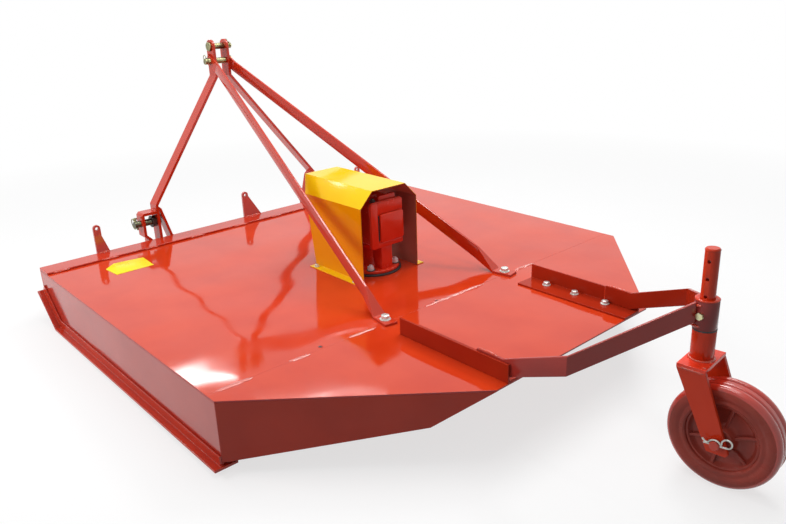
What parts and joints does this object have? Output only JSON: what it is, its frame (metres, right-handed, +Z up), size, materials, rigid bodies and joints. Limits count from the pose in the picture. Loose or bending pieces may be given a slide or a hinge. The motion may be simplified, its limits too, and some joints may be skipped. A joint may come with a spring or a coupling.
{
  "type": "rotary mower",
  "caption": "Three-point mounted rotary mower: flat tapered deck on side runners, A-frame mast with braces, shielded gearbox, swinging blades under the deck and a swivelling tail wheel.",
  "frame": {"origin": "on the floor, at the centre of the bounding box's base, as the machine parks on its runners and tail wheel", "axes": "+X forwards to the tractor, +Y to the machine's left, +Z up"},
  "size_m": [2.4978, 1.854, 0.9831],
  "materials": {
    "red_paint": "glossy orange-red enamel, dusty and lightly worn",
    "gearbox_paint": "orange-red enamel over castings",
    "yellow_paint": "glossy yellow enamel on folded sheet",
    "bright_steel": "zinc plated, slightly yellow",
    "dark_steel": "black forged steel",
    "tyre": "solid rubber oversprayed with the machine's dark red paint"
  },
  "bodies": {
    "deck": {"front_deck_sheet": "red_paint", "rear_deck_sheet": "red_paint", "left_side_plate": "red_paint", "right_side_plate": "red_paint", "left_rear_plate": "red_paint", "right_rear_plate": "red_paint", "front_rail": "red_paint", "left_runner": "red_paint", "right_runner": "red_paint", "left_front_lug": "red_paint", "right_front_lug": "red_paint", "middle_front_lug": "red_paint", "left_mast_leg": "red_paint", "right_mast_leg": "red_paint", "left_hitch_strap": "red_paint", "right_hitch_strap": "red_paint", "left_leg_gusset": "red_paint", "right_leg_gusset": "red_paint", "left_lower_pin": "bright_steel", "right_lower_pin": "bright_steel", "top_link_pin": "bright_steel", "mast_lower_pin": "bright_steel", "left_brace": "red_paint", "right_brace": "red_paint", "gearbox_housing": "gearbox_paint", "gearbox_cover": "gearbox_paint", "gearbox_base": "gearbox_paint", "gearbox_mount": "red_paint", "gearbox_shield": "yellow_paint", "left_tail_angle": "red_paint", "left_tail_arm": "red_paint", "right_tail_angle": "red_paint", "right_tail_arm": "red_paint", "caster_collar": "red_paint"},
    "rotor": {"rotor_shaft": "dark_steel", "blade_bar": "dark_steel", "blade_pan": "dark_steel", "rotor_nut": "dark_steel", "left_blade_bolt": "dark_steel", "right_blade_bolt": "dark_steel"},
    "left_blade": {"left_blade": "dark_steel"},
    "right_blade": {"right_blade": "dark_steel"},
    "input_shaft": {"input_shaft": "bright_steel"},
    "caster": {"caster_stem": "red_paint", "caster_sleeve": "red_paint", "yoke_plate": "red_paint", "left_yoke_leg": "red_paint", "right_yoke_leg": "red_paint", "wheel_axle": "bright_steel"},
    "tail_wheel": {"wheel_tyre": "tyre", "wheel_hub": "red_paint"}
  },
  "joints": [
    {"name": "rotor_spin", "type": "hinge", "parent": "deck", "child": "rotor", "pos_m": [0.22638, 0, 0.21113], "axis": [0.0132, 0, 0.9999], "continuous": true},
    {"name": "left_blade_swing", "type": "hinge", "parent": "rotor", "child": "left_blade", "pos_m": [0.22471, 0.35, 0.08414], "axis": [0.0132, 0, 0.9999], "range_deg": [-120, 120]},
    {"name": "right_blade_swing", "type": "hinge", "parent": "rotor", "child": "right_blade", "pos_m": [0.22471, -0.35, 0.08414], "axis": [0.0132, 0, 0.9999], "range_deg": [-120, 120]},
    {"name": "input_spin", "type": "hinge", "parent": "deck", "child": "input_shaft", "pos_m": [0.32674, 0, 0.38982], "axis": [0.9999, 0, -0.0132], "continuous": true},
    {"name": "caster_swivel", "type": "hinge", "parent": "deck", "child": "caster", "pos_m": [-1.02337, 0, 0.39557], "axis": [0.0306, 0, 0.9995], "continuous": true},
    {"name": "tail_wheel_roll", "type": "hinge", "parent": "caster", "child": "tail_wheel", "pos_m": [-1.109, -0.0068, 0.13807], "axis": [-0.0871, 0.9962, 0.0027], "continuous": true}
  ],
  "couplings": [
    {"joint": "input_spin", "follows": "rotor_spin", "ratio": 0.68182}
  ]
}
